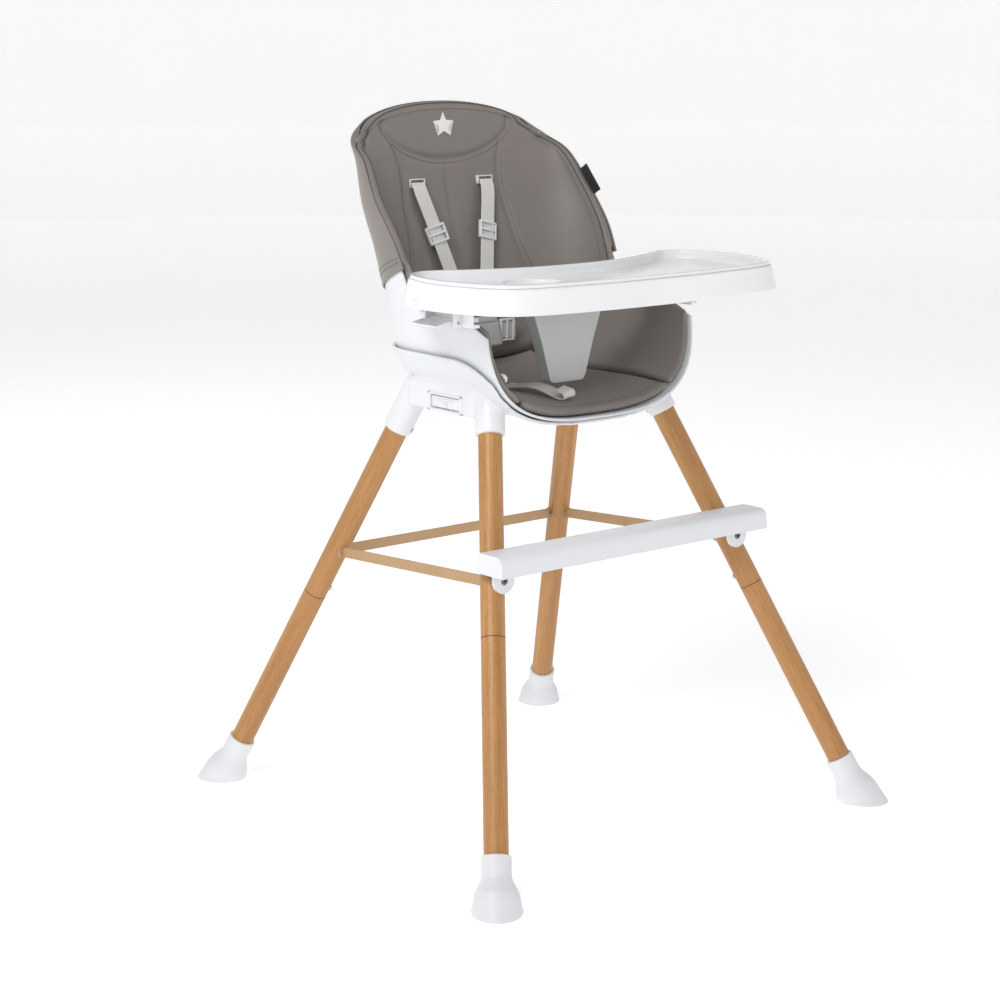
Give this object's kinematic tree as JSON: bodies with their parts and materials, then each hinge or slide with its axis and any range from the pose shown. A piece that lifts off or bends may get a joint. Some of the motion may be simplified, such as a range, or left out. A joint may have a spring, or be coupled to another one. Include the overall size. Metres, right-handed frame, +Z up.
{
  "type": "baby high chair",
  "caption": "High chair with a padded bucket seat and harness, a sliding tray with a lift-off insert, splayed two-part legs and a footrest.",
  "frame": {"origin": "on the floor below the middle of the chair", "axes": "+Z up, -Y towards the front where the tray is, +X to the right as seen from the front"},
  "size_m": [0.7382, 0.7374, 0.9683],
  "materials": {
    "white_plastic": "satin moulded polypropylene",
    "tray_plastic": "smooth glossy polypropylene",
    "foot_plastic": "satin moulded plastic",
    "light_plastic": "satin acetal",
    "grey_plastic": "fine matt moulded plastic",
    "wood_effect": "steel tube with a printed beech grain finish",
    "bar_paint": "satin powder coat",
    "steel": "zinc plated",
    "dark_steel": "dark zinc",
    "cover_fabric": "wipe-clean coated fabric with a fine grain",
    "webbing": "woven polyester webbing",
    "tag_fabric": "woven satin tape"
  },
  "bodies": {
    "stand": {"base_cradle": "white_plastic", "socket_screws": "dark_steel", "latch_springs": "steel", "upper_leg_front_left": "wood_effect", "upper_leg_front_right": "wood_effect", "upper_leg_rear_left": "wood_effect", "upper_leg_rear_right": "wood_effect", "lower_leg_front_left": "wood_effect", "lower_leg_front_right": "wood_effect", "lower_leg_rear_left": "wood_effect", "lower_leg_rear_right": "wood_effect", "foot_front_left": "foot_plastic", "foot_front_right": "foot_plastic", "foot_rear_left": "foot_plastic", "foot_rear_right": "foot_plastic", "leg_springs": "steel", "brace_bar_rear": "bar_paint", "brace_bar_left": "bar_paint", "brace_bar_right": "bar_paint", "brace_screws": "steel", "footrest": "white_plastic", "footrest_bracket_left": "white_plastic", "footrest_bracket_right": "white_plastic", "footrest_screws": "dark_steel"},
    "leg_button_front_left": {"leg_button_front_left": "steel"},
    "leg_button_front_right": {"leg_button_front_right": "steel"},
    "leg_button_rear_left": {"leg_button_rear_left": "steel"},
    "leg_button_rear_right": {"leg_button_rear_right": "steel"},
    "latch_button_left": {"latch_button_left": "white_plastic"},
    "latch_button_right": {"latch_button_right": "white_plastic"},
    "seat": {"seat_shell": "white_plastic", "seat_cushion": "cover_fabric", "side_cushion_left": "cover_fabric", "side_cushion_right": "cover_fabric", "back_cushion": "cover_fabric", "back_cover": "cover_fabric", "side_tag": "tag_fabric", "slot_trims": "white_plastic", "shoulder_strap_left": "webbing", "shoulder_strap_right": "webbing", "harness_buckle": "light_plastic", "waist_strap": "webbing", "waist_adjuster": "light_plastic", "crotch_strap": "webbing", "cover_clips": "light_plastic"},
    "strap_adjuster_left": {"strap_adjuster_left": "light_plastic"},
    "strap_adjuster_right": {"strap_adjuster_right": "light_plastic"},
    "tray": {"tray_base": "tray_plastic", "crotch_post": "grey_plastic", "lever_pins": "steel"},
    "tray_insert": {"tray_insert": "tray_plastic"},
    "tray_lever_left": {"tray_lever_left": "tray_plastic"},
    "tray_lever_right": {"tray_lever_right": "tray_plastic"}
  },
  "joints": [
    {"name": "leg_button_front_left_press", "type": "slide", "parent": "stand", "child": "leg_button_front_left", "axis": [-0.5422, -0.6975, 0.4685], "range_m": [0, 0.003], "stiffness_N_per_m": 800, "springref_m": -0.002},
    {"name": "leg_button_front_right_press", "type": "slide", "parent": "stand", "child": "leg_button_front_right", "axis": [0.5422, -0.6975, 0.4685], "range_m": [0, 0.003], "stiffness_N_per_m": 800, "springref_m": -0.002},
    {"name": "leg_button_rear_left_press", "type": "slide", "parent": "stand", "child": "leg_button_rear_left", "axis": [-0.4655, 0.7544, 0.4627], "range_m": [0, 0.003], "stiffness_N_per_m": 800, "springref_m": -0.002},
    {"name": "leg_button_rear_right_press", "type": "slide", "parent": "stand", "child": "leg_button_rear_right", "axis": [0.4655, 0.7544, 0.4627], "range_m": [0, 0.003], "stiffness_N_per_m": 800, "springref_m": -0.002},
    {"name": "latch_button_left_press", "type": "slide", "parent": "stand", "child": "latch_button_left", "axis": [1, 0, 0], "range_m": [0, 0.004], "stiffness_N_per_m": 1200, "springref_m": -0.003},
    {"name": "latch_button_right_press", "type": "slide", "parent": "stand", "child": "latch_button_right", "axis": [-1, 0, 0], "range_m": [0, 0.004], "stiffness_N_per_m": 1200, "springref_m": -0.003},
    {"name": "seat_lift", "type": "slide", "parent": "stand", "child": "seat", "axis": [0, 0, 1], "range_m": [0, 0.12]},
    {"name": "strap_adjuster_left_slide", "type": "slide", "parent": "seat", "child": "strap_adjuster_left", "axis": [0.2337, -0.2671, -0.9349], "range_m": [-0.012, 0.012]},
    {"name": "strap_adjuster_right_slide", "type": "slide", "parent": "seat", "child": "strap_adjuster_right", "axis": [-0.2337, -0.2671, -0.9349], "range_m": [-0.012, 0.012]},
    {"name": "tray_slide", "type": "slide", "parent": "seat", "child": "tray", "axis": [0, -1, 0], "range_m": [-0.02, 0.06]},
    {"name": "tray_insert_lift", "type": "slide", "parent": "tray", "child": "tray_insert", "axis": [0, 0, 1], "range_m": [0, 0.06]},
    {"name": "tray_lever_left_squeeze", "type": "hinge", "parent": "tray", "child": "tray_lever_left", "pos_m": [-0.207, -0.069, 0.7], "axis": [0, 1, 0], "range_deg": [0, 10], "stiffness_Nm_per_rad": 0.6, "springref_deg": -20.05},
    {"name": "tray_lever_right_squeeze", "type": "hinge", "parent": "tray", "child": "tray_lever_right", "pos_m": [0.207, -0.069, 0.7], "axis": [0, -1, 0], "range_deg": [0, 10], "stiffness_Nm_per_rad": 0.6, "springref_deg": -20.05}
  ]
}
